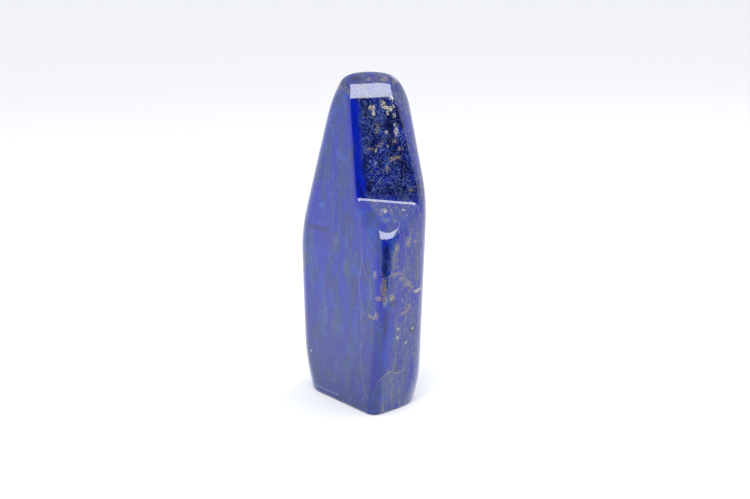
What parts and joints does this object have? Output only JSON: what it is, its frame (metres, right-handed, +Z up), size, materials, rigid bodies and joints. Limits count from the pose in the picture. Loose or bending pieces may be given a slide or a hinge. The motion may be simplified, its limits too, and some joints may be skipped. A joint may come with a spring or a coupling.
{
  "type": "polished lapis lazuli freeform",
  "caption": "Free-standing polished stone of blue lapis lazuli, a tall slab with rounded edges, a flat foot to stand on and a ledge ground across its upper front corner.",
  "frame": {"origin": "middle of the bounding box, at the height of the flat foot that the stone stands on", "axes": "+Z up along the stone's height, +X towards the narrow polished face, -Y out of the broad polished face, so the stone's thickness runs along Y"},
  "size_m": [0.0576, 0.0294, 0.1239],
  "materials": {
    "lapis_lazuli": "polished ultramarine lapis lazuli with grey-blue streaks, cream calcite veins and specks of golden pyrite"
  },
  "bodies": {
    "root": {"stone": "lapis_lazuli"}
  },
  "joints": []
}
